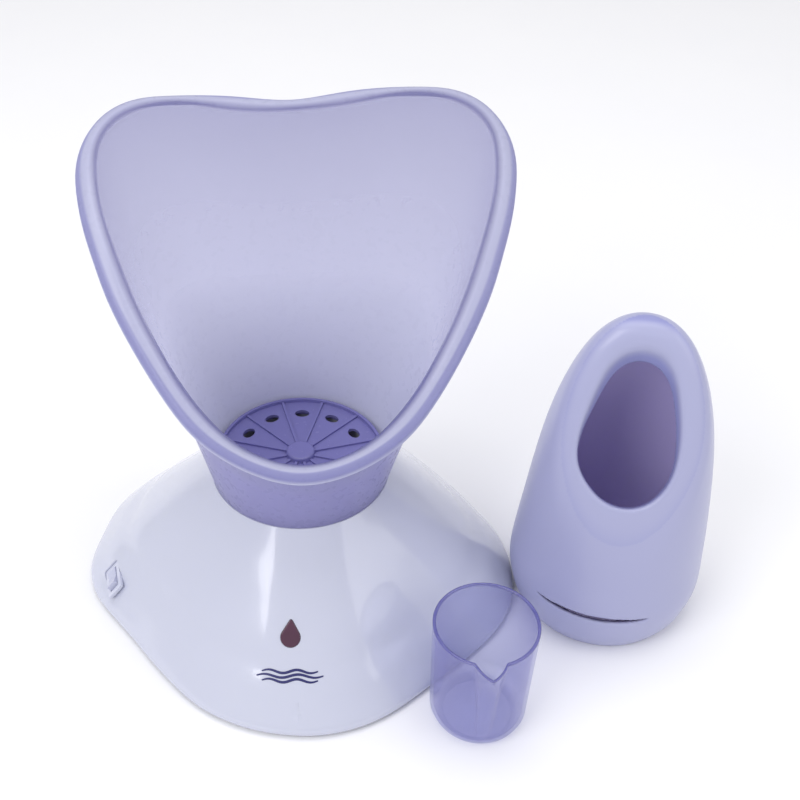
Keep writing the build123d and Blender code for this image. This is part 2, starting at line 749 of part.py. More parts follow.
m = math.radians(mouth_deg)
mouth_normal = nose_front * math.sin(m) + Vector(0, 0, math.cos(m))
mouth_up = Vector(0, 0, math.sin(m)) - nose_front * math.cos(m)
mouth_at = Vector(nose_x, nose_y, 0) + nose_front * mouth_f + Vector(0, 0, mouth_z)
mouth = Plane(origin=mouth_at, x_dir=mouth_up.cross(mouth_normal), z_dir=mouth_normal)
# outline of the mouth on its slanted plane, and of the throat 9 mm behind it
mouth_out = [
    (-1.3, 86.4), (-8.2, 84.0), (-13.4, 78.8), (-17.2, 70.4), (-20.4, 58.4),
    (-22.9, 44.6), (-22.6, 33.0), (-19.8, 24.5), (-14.6, 17.4), (-8.1, 12.0),
    (1.7, 9.7), (10.6, 12.6), (17.1, 19.4), (21.3, 31.7), (21.9, 45.6),
    (20.0, 58.6), (16.8, 70.8), (12.2, 80.4), (6.0, 85.4),
]
mouth_in = [
    (-1.6, 75.1), (-7.5, 72.2), (-12.0, 66.0), (-15.4, 58.0), (-18.6, 49.0),
    (-21.6, 38.0), (-22.0, 30.0), (-19.4, 22.0), (-14.4, 15.2), (-7.6, 9.8),
    (2.4, 7.4), (11.0, 10.4), (16.6, 17.0), (20.0, 26.5), (20.2, 36.0),
    (18.4, 48.0), (15.4, 60.0), (10.6, 69.8), (4.6, 74.4),
]
mouth_even = [i / 19.0 for i in range(20)]

with BuildPart() as nose_body:
    for row in nose_rows:
        with BuildSketch(Plane.XY.offset(row[0])):
            with BuildLine():
                add(smooth(nose_points(row), nose_even))
            make_face()
    loft()
    with BuildSketch(mouth):
        Rectangle(300, 400)
    extrude(amount=80.0, mode=Mode.SUBTRACT)

with BuildPart() as nose_inside:
    for row in nose_rows[:12]:
        z = {0.0: -1.0}.get(row[0], row[0])
        with BuildSketch(Plane.XY.offset(z)):
            with BuildLine():
                add(smooth(nose_points(row, nose_wall), nose_even))
            make_face()
    loft()
    with BuildSketch(mouth.offset(-8.5)):
        Rectangle(300, 400)
    extrude(amount=80.0, mode=Mode.SUBTRACT)

with BuildPart() as nose_mask_shell:
    add(nose_body.part)
    add(nose_inside.part, mode=Mode.SUBTRACT)
    # funnel-shaped mouth and the throat behind it
    for off, outline in ((1.0, mouth_out), (-9.0, mouth_in)):
        with BuildSketch(mouth.offset(off)):
            with BuildLine():
                add(smooth(outline, mouth_even))
            make_face()
    loft(mode=Mode.SUBTRACT)
    with BuildSketch(mouth.offset(-8.9)):
        with BuildLine():
            add(smooth(mouth_in, mouth_even))
        make_face()
    extrude(amount=-8.0, mode=Mode.SUBTRACT)
    # everything below the parting line belongs to the coupling ring
    with BuildSketch(Plane.XY.offset(nose_split)):
        with Locations((nose_x, nose_y)):
            Rectangle(140, 140)
    extrude(amount=-60.0, mode=Mode.SUBTRACT)
    # vent slot, cut into the lower edge over part of the front
    with BuildSketch(Plane.XY.offset(nose_split)):
        with Locations(Location((nose_x, nose_y, 0), (0, 0, 1), 0)):
            with BuildLine():
                c0 = (0.0, 0.0)
                a0, a1 = math.radians(-55.0), math.radians(16.0)
                Polyline(
                    c0, (70 * math.sin(a0), -70 * math.cos(a0)),
                    (86 * math.sin((a0 + a1) / 2), -86 * math.cos((a0 + a1) / 2)),
                    (70 * math.sin(a1), -70 * math.cos(a1)), close=True,
                )
            make_face()
    extrude(amount=1.7, mode=Mode.SUBTRACT)
finish(nose_mask_shell, "nose_mask_shell")

with BuildPart() as nose_mask_ring:
    add(nose_body.part)
    with BuildSketch(Plane.XY.offset(nose_split)):
        with Locations((nose_x, nose_y)):
            Rectangle(140, 140)
    extrude(amount=200.0, mode=Mode.SUBTRACT)
    add(nose_inside.part, mode=Mode.SUBTRACT)
    # sleeve and stop for the neck
    with BuildSketch(Plane.XY):
        with Locations((nose_x, nose_y)):
            Circle(41.2)
    extrude(amount=socket_h + 2.0)
    with BuildSketch(Plane.XY.offset(-1)):
        with Locations((nose_x, nose_y)):
            Circle(36.6)
    extrude(amount=12.0, mode=Mode.SUBTRACT)
    with BuildSketch(Plane.XY.offset(-1)):
        with Locations((nose_x, nose_y)):
            Circle(socket_r)
    extrude(amount=socket_h + 1.0, mode=Mode.SUBTRACT)
finish(nose_mask_ring, "nose_mask_ring")

# ---------------------------------------------------------------- measuring cup
def wedge(out, half, r, z, inset=0.0):
    """Spout section: a triangle that starts inside the wall."""
    root = r - 4.0
    return [
        (cup_x - half + inset, cup_y - root), (cup_x, cup_y - r - out + inset * 1.3),
        (cup_x + half - inset, cup_y - root),
    ]


with BuildPart() as measuring_cup:
    with BuildSketch(Plane(origin=(cup_x, cup_y, 0), x_dir=(1, 0, 0), z_dir=(0, -1, 0))):
        with BuildLine():
            Polyline(
                (0, 0), (cup_foot_r - 6.0, 0), (cup_foot_r - 2.2, 1.4), (cup_foot_r - 0.3, 5.0),
                (cup_rim_r, cup_h), (0, cup_h), close=True,
            )
        make_face()
    revolve(axis=Axis((cup_x, cup_y, 0), (0, 0, 1)))
    for z, out, half in ((7.0, 0.1, 3.6), (35.0, 3.2, 5.4), (cup_h, spout_out, spout_w)):
        r = cup_foot_r + (cup_rim_r - cup_foot_r) * z / cup_h
        with BuildSketch(Plane.XY.offset(z)):
            with BuildLine():
                Polyline(*wedge(out, half, r, z), close=True)
            make_face()
    loft()
    with BuildSketch(Plane(origin=(cup_x, cup_y, 0), x_dir=(1, 0, 0), z_dir=(0, -1, 0))):
        with BuildLine():
            Polyline(
                (0, cup_t), (cup_foot_r - 6.4, cup_t), (cup_foot_r - 3.4, 2.6),
                (cup_foot_r - 0.3 - cup_t, 5.6), (cup_rim_r - cup_t, cup_h),
                (cup_rim_r - cup_t + 0.04, cup_h + 1.0), (0, cup_h + 1.0), close=True,
            )
        make_face()
    revolve(axis=Axis((cup_x, cup_y, 0), (0, 0, 1)), mode=Mode.SUBTRACT)
    for z, out, half in ((12.0, 0.3, 4.0), (35.0, 3.1, 5.4), (cup_h + 0.5, spout_out + 0.1, spout_w)):
        r = cup_foot_r + (cup_rim_r - cup_foot_r) * z / cup_h
        with BuildSketch(Plane.XY.offset(z)):
            with BuildLine():
                Polyline(*wedge(out, half, r, z, 1.4), close=True)
            make_face()
    loft(mode=Mode.SUBTRACT)
finish(measuring_cup, "measuring_cup")
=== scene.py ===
import math
import bpy
import numpy as np
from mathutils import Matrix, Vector
from mathutils.bvhtree import BVHTree


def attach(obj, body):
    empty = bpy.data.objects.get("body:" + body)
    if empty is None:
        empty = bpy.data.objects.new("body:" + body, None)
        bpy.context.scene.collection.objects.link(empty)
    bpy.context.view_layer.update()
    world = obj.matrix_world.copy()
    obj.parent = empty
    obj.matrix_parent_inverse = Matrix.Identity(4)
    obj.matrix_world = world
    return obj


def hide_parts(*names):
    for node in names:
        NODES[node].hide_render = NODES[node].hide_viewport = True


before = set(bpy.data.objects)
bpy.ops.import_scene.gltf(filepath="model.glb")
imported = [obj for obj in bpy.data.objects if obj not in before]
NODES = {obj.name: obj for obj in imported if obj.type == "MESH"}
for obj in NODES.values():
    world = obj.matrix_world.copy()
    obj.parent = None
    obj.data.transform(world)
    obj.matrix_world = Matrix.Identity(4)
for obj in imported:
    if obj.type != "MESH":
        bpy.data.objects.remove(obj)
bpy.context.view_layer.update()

MM = 0.001


# ------------------------------------------------------------------ small helpers
def srgb(r, g, b):
    out = []
    for v in (r, g, b):
        v = v / 255.0
        out.append(v / 12.92 if v <= 0.04045 else ((v + 0.055) / 1.055) ** 2.4)
    return (out[0], out[1], out[2], 1.0)


def new_mesh(name, verts, faces, mat, smooth=True):
    me = bpy.data.meshes.new(name)
    me.from_pydata([tuple(map(float, v)) for v in verts], [], [tuple(map(int, f)) for f in faces])
    me.update()
    ob = bpy.data.objects.new(name, me)
    bpy.context.scene.collection.objects.link(ob)
    for m in (mat if isinstance(mat, (list, tuple)) else [mat]):
        me.materials.append(m)
    if smooth:
        for p in me.polygons:
            p.use_smooth = True
    return ob


def smoothstep(a, b, x):
    t = np.clip((x - a) / (b - a), 0.0, 1.0)
    return t * t * (3 - 2 * t)


# ------------------------------------------------------------------ materials
def base_material(name):
    m = bpy.data.materials.new(name)
    m.use_nodes = True
    nt = m.node_tree
    for n in list(nt.nodes):
        nt.nodes.remove(n)
    out = nt.nodes.new("ShaderNodeOutputMaterial")
    return m, nt, out


def moulded(name, color, color2=None, rough=0.3, rough2=None, grain=260.0, bump=0.02,
            metallic=0.0, coat=0.0, sss=0.0, spec=0.5, tint_scale=9.0):
    """Moulded plastic, metal or rubber: slow colour drift, fine grain, uneven gloss."""
    m, nt, out = base_material(name)
    L = nt.links.new
    tc = nt.nodes.new("ShaderNodeTexCoord")
    n1 = nt.nodes.new("ShaderNodeTexNoise")
    n1.inputs["Scale"].default_value = tint_scale
    n1.inputs["Detail"].default_value = 2.0
    L(tc.outputs["Object"], n1.inputs["Vector"])
    mix = nt.nodes.new("ShaderNodeMix")
    mix.data_type = "RGBA"
    c2 = color2 if color2 is not None else tuple(min(1.0, v * 0.94) for v in color[:3]) + (1.0,)
    mix.inputs["A"].default_value = color
    mix.inputs["B"].default_value = c2
    L(n1.outputs["Fac"], mix.inputs["Factor"])
    p = nt.nodes.new("ShaderNodeBsdfPrincipled")
    L(mix.outputs["Result"], p.inputs["Base Color"])
    p.inputs["Metallic"].default_value = metallic
    p.inputs["Specular IOR Level"].default_value = spec
    if coat:
        p.inputs["Coat Weight"].default_value = coat
        p.inputs["Coat Roughness"].default_value = 0.06
    if sss:
        p.inputs["Subsurface Weight"].default_value = sss
        p.inputs["Subsurface Radius"].default_value = (0.004, 0.004, 0.006)
        p.inputs["Subsurface Scale"].default_value = 1.0
    n2 = nt.nodes.new("ShaderNodeTexNoise")
    n2.inputs["Scale"].default_value = grain
    n2.inputs["Detail"].default_value = 2.0
    L(tc.outputs["Object"], n2.inputs["Vector"])
    mr = nt.nodes.new("ShaderNodeMapRange")
    mr.inputs["To Min"].default_value = rough
    mr.inputs["To Max"].default_value = rough2 if rough2 is not None else rough * 1.35
    L(n2.outputs["Fac"], mr.inputs["Value"])
    L(mr.outputs["Result"], p.inputs["Roughness"])
    bp = nt.nodes.new("ShaderNodeBump")
    bp.inputs["Strength"].default_value = bump
    bp.inputs["Distance"].default_value = 0.0004
    L(n2.outputs["Fac"], bp.inputs["Height"])
    L(bp.outputs["Normal"], p.inputs["Normal"])
    L(p.outputs["BSDF"], out.inputs["Surface"])
    return m, nt, p, out, mix


def by_height(nt, mix_out, low_color, z0, z1, target):
    """Blend towards low_color below z0, none above z1 (object height, metres)."""
    L = nt.links.new
    tc = nt.nodes.new("ShaderNodeTexCoord")
    sx = nt.nodes.new("ShaderNodeSeparateXYZ")
    L(tc.outputs["Object"], sx.inputs["Vector"])
    mr = nt.nodes.new("ShaderNodeMapRange")
    mr.interpolation_type = "SMOOTHSTEP"
    mr.inputs["From Min"].default_value = z0
    mr.inputs["From Max"].default_value = z1
    mr.inputs["To Min"].default_value = 1.0
    mr.inputs["To Max"].default_value = 0.0
    L(sx.outputs["Z"], mr.inputs["Value"])
    mx = nt.nodes.new("ShaderNodeMix")
    mx.data_type = "RGBA"
    mx.inputs["B"].default_value = low_color
    L(mix_out, mx.inputs["A"])
    L(mr.outputs["Result"], mx.inputs["Factor"])
    L(mx.outputs["Result"], target)
    return mx


def by_attribute(nt, src_out, name, color, target, strength=1.0):
    L = nt.links.new
    at = nt.nodes.new("ShaderNodeAttribute")
    at.attribute_name = name
    mul = nt.nodes.new("ShaderNodeMath")
    mul.operation = "MULTIPLY"
    mul.inputs[1].default_value = strength
    L(at.outputs["Fac"], mul.inputs[0])
    mx = nt.nodes.new("ShaderNodeMix")
    mx.data_type = "RGBA"
    mx.inputs["B"].default_value = color
    L(src_out, mx.inputs["A"])
    L(mul.outputs["Value"], mx.inputs["Factor"])
    L(mx.outputs["Result"], target)
    return mx


def see_through(nt, p, out, color, amount, translucent=0.0):
    """Let part of the light pass: transparent share plus a translucent share."""
    L = nt.links.new
    last = p.outputs["BSDF"]
    if translucent:
        tl = nt.nodes.new("ShaderNodeBsdfTranslucent")
        tl.inputs["Color"].default_value = color
        m1 = nt.nodes.new("ShaderNodeMixShader")
        m1.inputs["Fac"].default_value = translucent
        L(last, m1.inputs[1])
        L(tl.outputs["BSDF"], m1.inputs[2])
        last = m1.outputs["Shader"]
    if amount:
        tp = nt.nodes.new("ShaderNodeBsdfTransparent")
        tp.inputs["Color"].default_value = color
        m2 = nt.nodes.new("ShaderNodeMixShader")
        m2.inputs["Fac"].default_value = amount
        L(last, m2.inputs[1])
        L(tp.outputs["BSDF"], m2.inputs[2])
        last = m2.outputs["Shader"]
        for l in list(nt.links):
            if l.to_node == out and l.to_socket.name == "Surface":
                nt.links.remove(l)
        L(last, out.inputs["Surface"])
        return m2
    L(last, out.inputs["Surface"])
    return None


# ------------------------------------------------------------------ shape tables (mm)
MASK_ROWS = [
    (0, 53.6, 62.7), (15, 53.8, 62.8), (30, 54.8, 64.0), (45, 56.4, 66.4),
    (60, 59.3, 69.2), (72, 63.2, 73.4), (82, 68.1, 79.0), (90, 73.2, 84.8),
    (97, 78.8, 90.5), (103, 84.8, 96.5), (108, 89.8, 101.4), (112, 92.9, 104.7),
    (116, 94.8, 106.1), (120, 94.0, 105.6), (125, 89.9, 102.5), (131, 82.6, 95.9),
    (138, 73.9, 86.4), (147, 64.0, 76.7), (157, 56.8, 69.2), (168, 52.8, 63.8),
    (180, 51.5, 61.6),
]
LEAN, TURN = 1.8, math.radians(2.0)
COLLAR, WALL, SKIRT, NECK_Z = 41.0, 2.0, 5.0, 75.0


def periodic_spline(x, y, period):
    """Smooth periodic curve through (x, y): returns a function."""
    x = np.asarray(x, float)
    y = np.asarray(y, float)
    n = len(x)
    h = np.diff(np.append(x, x[0] + period))
    A = np.zeros((n, n))
    b = np.zeros(n)
    for i in range(n):
        hm, hp = h[i - 1], h[i]
        A[i, i - 1] += hm
        A[i, i] += 2 * (hm + hp)
        A[i, (i + 1) % n] += hp
        b[i] = 6 * ((y[(i + 1) % n] - y[i]) / hp - (y[i] - y[i - 1]) / hm)
    M = np.linalg.solve(A, b)

    def f(q):
        q = (np.asarray(q, float) - x[0]) % period + x[0]
        i = np.clip(np.searchsorted(x, q, side="right") - 1, 0, n - 1)
        x0 = x[i]
        hh = h[i]
        j = (i + 1) % n
        a = (x0 + hh - q) / hh
        c = (q - x0) / hh
        return (a * y[i] + c * y[j]
                + ((a ** 3 - a) * M[i] + (c ** 3 - c) * M[j]) * hh * hh / 6)
    return f


def rounded(points, radii, seg):
    """Closed outline with its corners rounded; always the same number of points."""
    n = len(points)
    pts = [np.array(p, float) for p in points]
    out = []
    for i in range(n):
        p, a, c, r = pts[i], pts[i - 1], pts[(i + 1) % n], radii[i]
        u, v = a - p, c - p
        lu, lv = np.linalg.norm(u), np.linalg.norm(v)
        u, v = u / lu, v / lv
        cosx = float(np.clip(u @ v, -1, 1))
        half = math.acos(cosx) / 2
        t = min(r / max(math.tan(half), 1e-3), 0.46 * lu, 0.46 * lv)
        p0, p1 = p + u * t, p + v * t
        for k in range(seg + 1):
            s = k / seg
            out.append((1 - s) ** 2 * p0 + 2 * s * (1 - s) * p + s * s * p1)
    return out


# ------------------------------------------------------------------ face mask
phi_k, rin_k, rout_k = [], [], []
for d, a, b in MASK_ROWS:
    s = LEAN * math.sin(math.radians(d))
    phi_k.append(d); rin_k.append(a + s); rout_k.append(b + s)
for d, a, b in reversed(MASK_ROWS[1:-1]):
    s = LEAN * math.sin(math.radians(d))
    phi_k.append(360 - d); rin_k.append(a - s); rout_k.append(b - s)
f_in = periodic_spline(phi_k, rin_k, 360.0)
f_out = periodic_spline(phi_k, rout_k, 360.0)

NPHI = 300
SEG = 4
verts, faces, lip_shade_w, edge_w, wall_shade_w, clear_w = [], [], [], [], [], []
EDGE = {8: 0.3, 9: 1.0, 10: 0.9, 11: 0.32, 12: 0.25, 6: 0.5, 5: 0.3}
# per-corner weights of the painted shade on the collar's outer wall (darker purple standing in for the shadowed inside
# seen through it)
OUTER_WALL_SHADE = {1: 1.0, 2: 1.0, 3: 1.0, 4: 0.8, 5: 0.4}
for i in range(NPHI):
    d = 360.0 * i / NPHI
    a = math.radians(d)
    rin, rout = float(f_in(d)), float(f_out(d))
    zi = 126.5 + 1.066 * (53.5 - rin * math.cos(a))
    zo = 126.5 + 0.911 * (62.5 - rout * math.cos(a))
    mr_, mz = (rin + rout) / 2, (zi + zo) / 2
    hin, hz = COLLAR + (rin - COLLAR) * 0.5, NECK_Z + (zi - NECK_Z) * 0.5
    prof = [
        (COLLAR, NECK_Z), (COLLAR + WALL, NECK_Z), (hin + WALL, hz),
        (rin + WALL, zi - 2.6), (rin + 3.4, zi - 2.0), (mr_, mz - 1.5),
        (rout - 3.6, zo - 2.4), (rout - 1.9, zo - SKIRT), (rout - 0.05, zo - SKIRT),
        (rout - 0.25, zo - 2.2), (rout - 1.9, zo - 0.25), (mr_ + 0.5, mz + 0.6),
        (rin + 1.3, zi - 0.05), (rin, zi - 1.3), (hin, hz),
    ]
    rad = [0.5, 0.5, 20, 1.5, 3.0, 6.0, 1.2, 0.5, 0.6, 1.6, 2.2, 8.0, 0.8, 0.8, 20]
    ring = rounded(prof, rad, SEG)
    ca, sa = math.cos(a + 0), math.sin(a)
    for k, (r, z) in enumerate(ring):
        x, y = r * sa, -r * ca
        X = x * math.cos(TURN) - y * math.sin(TURN)
        Y = x * math.sin(TURN) + y * math.cos(TURN)
        verts.append((X * MM, Y * MM, z * MM))
        j = k // (SEG + 1)
        # painted shade: a dark line along the flange's inner edge, where it turns down into the funnel
        lip_shade_w.append(1.0 if j in (12, 13) else 0.0)
        edge_w.append(EDGE.get(j, 0.0))
        front_ = float(smoothstep(-0.35, 0.15, ca))
        # painted shade on the outer collar wall: strongest on the front, fading out upwards
        wall_shade_w.append(OUTER_WALL_SHADE.get(j, 0.0) * (1.0 - float(smoothstep(112.0, 150.0, z))) * (0.3 + 0.7 * front_))
        if j in (13, 14, 0):
            c_ = 0.68 * float(smoothstep(80.0, 104.0, z))
        else:
            c_ = 0.66 * (float(smoothstep(104.0, 146.0, z)) * front_ + float(smoothstep(78.0, 96.0, z)) * (1 - front_))
        clear_w.append(c_ * (0.2 if j in (6, 7, 8, 9, 10) else 0.3 if j in (5, 11, 12) else 1.0))
NP = len(ring)
for i in range(NPHI):
    i2 = (i + 1) % NPHI
    for k in range(NP):
        k2 = (k + 1) % NP
        faces.append((i * NP + k, i * NP + k2, i2 * NP + k2, i2 * NP + k))

mask_mat, nt, p, out, mix = moulded("mask_lilac", srgb(220, 222, 237), srgb(216, 218, 235), rough=0.24,
                                    grain=260, bump=0.002, coat=0.12, spec=0.35)
# painted shade: the collar's outer wall is mixed towards dark purple
mx = by_attribute(nt, mix.outputs["Result"], "outer", srgb(130, 126, 186), p.inputs["Base Color"], 0.94)
mx = by_attribute(nt, mx.outputs["Result"], "edge", srgb(122, 122, 184), p.inputs["Base Color"], 0.9)
# painted shade: dark purple line along the inner lip
by_attribute(nt, mx.outputs["Result"], "lip_shade", srgb(70, 66, 132), p.inputs["Base Color"], 1.0)
clear = see_through(nt, p, out, srgb(232, 232, 245), 0.4, 0.34)
atc = nt.nodes.new("ShaderNodeAttribute")
atc.attribute_name = "clear"
nt.links.new(atc.outputs["Fac"], clear.inputs["Fac"])
face_mask = new_mesh("mask_funnel", verts, faces, mask_mat)
for key, vals in (("lip_shade", lip_shade_w), ("edge", edge_w), ("outer", wall_shade_w), ("clear", clear_w)):
    at = face_mask.data.attributes.new(key, "FLOAT", "POINT")
    at.data.foreach_set("value", vals)
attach(face_mask, "mask")
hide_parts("face_mask")


# ------------------------------------------------------------------ level-set meshing
def surface_net(field, origin, step):
    """Mesh the zero level of a sampled field (negative inside)."""
    neg = field < 0
    nx, ny, nz = field.shape
    acc = np.zeros((nx - 1, ny - 1, nz - 1, 3), np.float32)
    cnt = np.zeros((nx - 1, ny - 1, nz - 1), np.float32)
    edges = []
    for ax in range(3):
        lo = [slice(None)] * 3
        hi = [slice(None)] * 3
        lo[ax] = slice(0, -1)
        hi[ax] = slice(1, None)
        a, b = field[tuple(lo)], field[tuple(hi)]
        cross = neg[tuple(lo)] != neg[tuple(hi)]
        idx = np.argwhere(cross)
        av, bv = a[cross], b[cross]
        t = av / (av - bv)
        pos = idx.astype(np.float32)
        pos[:, ax] += t
        edges.append((ax, idx, av < 0))
        others = [o for o in range(3) if o != ax]
        for d1 in (0, 1):
            for d2 in (0, 1):
                c = idx.copy()
                c[:, others[0]] -= d1
                c[:, others[1]] -= d2
                ok = np.all(c >= 0, axis=1) & (c[:, 0] < nx - 1) & (c[:, 1] < ny - 1) & (c[:, 2] < nz - 1)
                cc = c[ok]
                np.add.at(acc, (cc[:, 0], cc[:, 1], cc[:, 2]), pos[ok])
                np.add.at(cnt, (cc[:, 0], cc[:, 1], cc[:, 2]), 1)
    cells = np.argwhere(cnt > 0)
    ids = -np.ones(cnt.shape, np.int64)
    ids[tuple(cells.T)] = np.arange(len(cells))
    v = acc[tuple(cells.T)] / cnt[tuple(cells.T)][:, None]
    v = np.asarray(origin) + v * step
    quads = []
    for ax, idx, a_in in edges:
        o1, o2 = [(1, 2), (2, 0), (0, 1)][ax]
        ring = []
        ok = np.ones(len(idx), bool)
        for d1, d2 in ((0, 0), (1, 0), (1, 1), (0, 1)):
            c = idx.copy()
            c[:, o1] -= d1
            c[:, o2] -= d2
            good = np.all(c >= 0, axis=1) & (c[:, 0] < nx - 1) & (c[:, 1] < ny - 1) & (c[:, 2] < nz - 1)
            ok &= good
            c = np.clip(c, 0, [nx - 2, ny - 2, nz - 2])
            ring.append(ids[c[:, 0], c[:, 1], c[:, 2]])
        q = np.stack(ring, 1)
        flip = ~a_in
        q[flip] = q[flip][:, ::-1]
        quads.append(q[ok])
    return v, np.concatenate(quads)


def smax(a, b, k):
    h = np.clip(0.5 - 0.5 * (b - a) / k, 0.0, 1.0)
    return b * (1 - h) + a * h + k * h * (1 - h)


# ------------------------------------------------------------------ nose mask
NX, NY, NT = 153.3, -11.6, math.radians(-12.0)
NOSE = np.array([
    (0.0, 39.9, 39.9, 39.9, 2.0, 0.0), (4.0, 42.2, 42.1, 42.2, 2.0, 0.0),
    (10.0, 44.9, 44.5, 44.9, 2.0, 0.0), (24.0, 47.3, 45.9, 47.3, 2.0, 0.1),
    (42.0, 46.1, 43.5, 46.1, 2.0, 0.3), (60.0, 44.4, 40.8, 44.4, 2.1, 0.5),
    (80.0, 42.3, 38.0, 42.3, 2.2, 0.5), (100.0, 39.7, 34.9, 39.7, 2.3, 0.4),
    (118.0, 36.4, 31.8, 36.4, 2.4, 0.3), (135.0, 31.8, 27.6, 31.8, 2.4, 0.1),
    (147.0, 27.2, 23.4, 27.2, 2.3, -0.1), (156.0, 22.4, 19.4, 22.4, 2.2, -0.2),
    (163.0, 16.8, 14.6, 16.8, 2.1, -0.2), (167.0, 11.4, 10.0, 11.4, 2.0, -0.2),
    (169.0, 5.4, 4.8, 5.4, 2.0, -0.2),
])
MOUTH_OUT = np.array([
    (-1.3, 86.4), (-8.2, 84.0), (-13.4, 78.8), (-17.2, 70.4), (-20.4, 58.4),
    (-22.9, 44.6), (-22.6, 33.0), (-19.8, 24.5), (-14.6, 17.4), (-8.1, 12.0),
    (1.7, 9.7), (10.6, 12.6), (17.1, 19.4), (21.3, 31.7), (21.9, 45.6),
    (20.0, 58.6), (16.8, 70.8), (12.2, 80.4), (6.0, 85.4),
])
MOUTH_IN = np.array([
    (-1.6, 75.1), (-7.5, 72.2), (-12.0, 66.0), (-15.4, 58.0), (-18.6, 49.0),
    (-21.6, 38.0), (-22.0, 30.0), (-19.4, 22.0), (-14.4, 15.2), (-7.6, 9.8),
    (2.4, 7.4), (11.0, 10.4), (16.6, 17.0), (20.0, 26.5), (20.2, 36.0),
    (18.4, 48.0), (15.4, 60.0), (10.6, 69.8), (4.6, 74.4),
])
M_F, M_Z, M_A = 36.6, 80.0, math.radians(67.0)


def hermite(x, y):
    """Monotone-ish cubic through the points, sampled finely, returned as a function."""
    x = np.asarray(x, float)
    y = np.asarray(y, float)
    d = np.diff(y) / np.diff(x)
    m = np.zeros(len(x))
    m[1:-1] = np.where(d[:-1] * d[1:] > 0, 2 * d[:-1] * d[1:] / (d[:-1] + d[1:] + 1e-12), 0)
    m[0], m[-1] = d[0], d[-1]

    def f(q):
        q = np.clip(q, x[0], x[-1])
        i = np.clip(np.searchsorted(x, q) - 1, 0, len(x) - 2)
        h = x[i + 1] - x[i]
        t = (q - x[i]) / h
        return ((2 * t ** 3 - 3 * t ** 2 + 1) * y[i] + (t ** 3 - 2 * t ** 2 + t) * h * m[i]
                + (-2 * t ** 3 + 3 * t ** 2) * y[i + 1] + (t ** 3 - t ** 2) * h * m[i + 1])
    return f


nose_f = [hermite(NOSE[:, 0], NOSE[:, k]) for k in range(1, 6)]
centre = np.array([0.0, 41.0])


def polar(outline):
    q = outline - centre
    ang = np.degrees(np.arctan2(q[:, 0], q[:, 1])) % 360
    o = np.argsort(ang)
    return periodic_spline(ang[o], np.hypot(q[:, 0], q[:, 1])[o], 360.0)


pol_out, pol_in = polar(MOUTH_OUT), polar(MOUTH_IN)
STEP = 0.8
gx = np.arange(-51, 51 + STEP, STEP)
gz = np.arange(-3, 173 + STEP, STEP)
W, Fq, Z = np.meshgrid(gx, gx, gz, indexing="ij")   # across, towards the front, up
side_h, front_d, back_d, sq, aside = [f(gz)[None, None, :] for f in nose_f]
w = W - aside
deep = np.where(Fq > 0, front_d, back_d)
pw = np.where(Fq > 0, sq, 2.0)
rho = np.hypot(w, Fq) + 1e-6
unit = (np.abs(w / rho / side_h) ** pw + np.abs(Fq / rho / deep) ** pw) ** (-1.0 / pw)
slope = np.gradient(nose_f[0](gz), gz)[None, None, :]
body = (rho - unit) / np.sqrt(1 + np.clip(slope, -3, 3) ** 2)
body = smax(body, Z - 169.0, 4.0)
nF, nZ = math.sin(M_A), math.cos(M_A)
hgt = (Fq - M_F) * nF + (Z - M_Z) * nZ
loc_y = (Z - M_Z) * math.sin(M_A) - (Fq - M_F) * math.cos(M_A)
# local x follows up x normal: towards the viewer's right
loc_x = W
solid = smax(body, hgt, 7.5)
cavity = smax(body + 2.6, hgt + 8.5, 2.0)
cavity = np.where(Z < 9.0, np.where(Z < 7.0, rho - 38.2, rho - 36.6), cavity)
solid = np.maximum(solid, -cavity)
t = np.clip((1.0 - hgt) / 10.0, 0, 1.0)
px, py = loc_x - centre[0], loc_y - centre[1]
ang = np.degrees(np.arctan2(px, py)) % 360
rr = np.hypot(px, py)
near = (hgt > -20) & (hgt < 14)
fun = np.full(W.shape, 50.0)
ro, ri = pol_out(ang[near]), pol_in(ang[near])
fun[near] = rr[near] - (ro * (1 - t[near]) + ri * t[near])
fun = np.maximum(fun, -(hgt + 18.0))
solid = smax(solid, -fun, 2.2)
solid = smax(solid, -Z, 1.6)
# crescent slot
azg = np.degrees(np.arctan2(W, Fq))
s0, s1 = -43.5, 31.0
mid, half = (s0 + s1) / 2, (s1 - s0) / 2
thick = 1.55 * np.sqrt(np.clip(1 - ((azg - mid) / half) ** 2, 0, 1)) - 0.15
slot = np.maximum(np.abs(Z - 25.5) - thick, np.abs(rho - unit + 1.0) - 4.5)
slot = np.where(Fq > 0, slot, 9.0)
solid = np.maximum(solid, -slot)
v, q = surface_net(solid.astype(np.float32), (gx[0], gx[0], gz[0]), STEP)

# light relaxation takes out the sampling steps
def relax(v, q, n, keep=None):
    e = np.concatenate([q[:, [0, 1]], q[:, [1, 2]], q[:, [2, 3]], q[:, [3, 0]]])
    deg = np.bincount(e.ravel(), minlength=len(v)).astype(float)[:, None]
    for it in range(n):
        for lam in (0.5, -0.52):
            s = np.zeros_like(v)
            np.add.at(s, e[:, 0], v[e[:, 1]])
            np.add.at(s, e[:, 1], v[e[:, 0]])
            v = v + lam * (s / deg - v)
    return v


